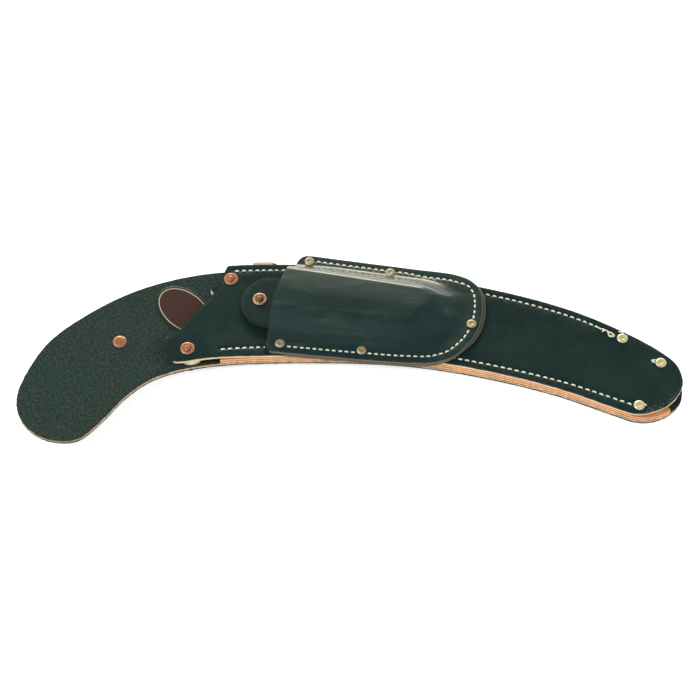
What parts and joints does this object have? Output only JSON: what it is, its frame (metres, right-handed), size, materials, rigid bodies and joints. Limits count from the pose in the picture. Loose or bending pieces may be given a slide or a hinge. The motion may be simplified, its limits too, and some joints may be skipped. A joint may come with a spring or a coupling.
{
  "type": "pruning saw scabbard",
  "caption": "Curved saw scabbard, leather sewn and riveted over welts to a rubber-belting back, with a moulded pruner pouch and a belt loop.",
  "frame": {"origin": "middle of the underside of the bounding box, the level of the belt loop's outer face", "axes": "+X along the scabbard from the handle paddle to the tip, +Y to the outer convex edge, +Z out of the front, away from the wearer"},
  "size_m": [0.6, 0.1916, 0.0563],
  "materials": {
    "back_belting": "matte",
    "front_leather": "satin",
    "pouch_leather": "satin",
    "welt_leather": "matte",
    "spacer_leather": "matte",
    "copper": "satin",
    "brass": "satin",
    "thread": "matte",
    "tag": "satin"
  },
  "bodies": {
    "root": {"belt_loop": "front_leather", "belting_back": "back_belting", "front_panel": "front_leather", "lower_seam_thread_back": "thread", "lower_seam_thread_front": "thread", "lower_welt_inner": "welt_leather", "lower_welt_outer": "welt_leather", "mouth_lower_burr": "copper", "mouth_lower_rivet": "copper", "mouth_spacer": "spacer_leather", "mouth_upper_burr": "copper", "mouth_upper_rivet": "copper", "paddle_burr": "copper", "paddle_rivet": "copper", "pouch_back": "front_leather", "pouch_foot_burr": "copper", "pouch_foot_rivet": "copper", "pouch_front": "pouch_leather", "pouch_rivet_1_back_cap": "brass", "pouch_rivet_1_cap": "brass", "pouch_rivet_2_back_cap": "brass", "pouch_rivet_2_cap": "brass", "pouch_rivet_3_back_cap": "brass", "pouch_rivet_3_cap": "brass", "pouch_rivet_4_back_cap": "brass", "pouch_rivet_4_cap": "brass", "pouch_rivet_5_back_cap": "brass", "pouch_rivet_5_cap": "brass", "pouch_seam_thread_1": "thread", "pouch_seam_thread_2": "thread", "pouch_seam_thread_3": "thread", "pouch_seam_thread_4": "thread", "pouch_tab_burr": "copper", "pouch_tab_rivet": "copper", "swing_tag": "tag", "tip_end_rivet_back_cap": "brass", "tip_end_rivet_cap": "brass", "tip_lower_rivet_back_cap": "brass", "tip_lower_rivet_cap": "brass", "tip_upper_rivet_back_cap": "brass", "tip_upper_rivet_cap": "brass", "upper_seam_thread_back": "thread", "upper_seam_thread_front": "thread", "upper_welt_inner": "welt_leather", "upper_welt_outer": "welt_leather"}
  },
  "joints": []
}
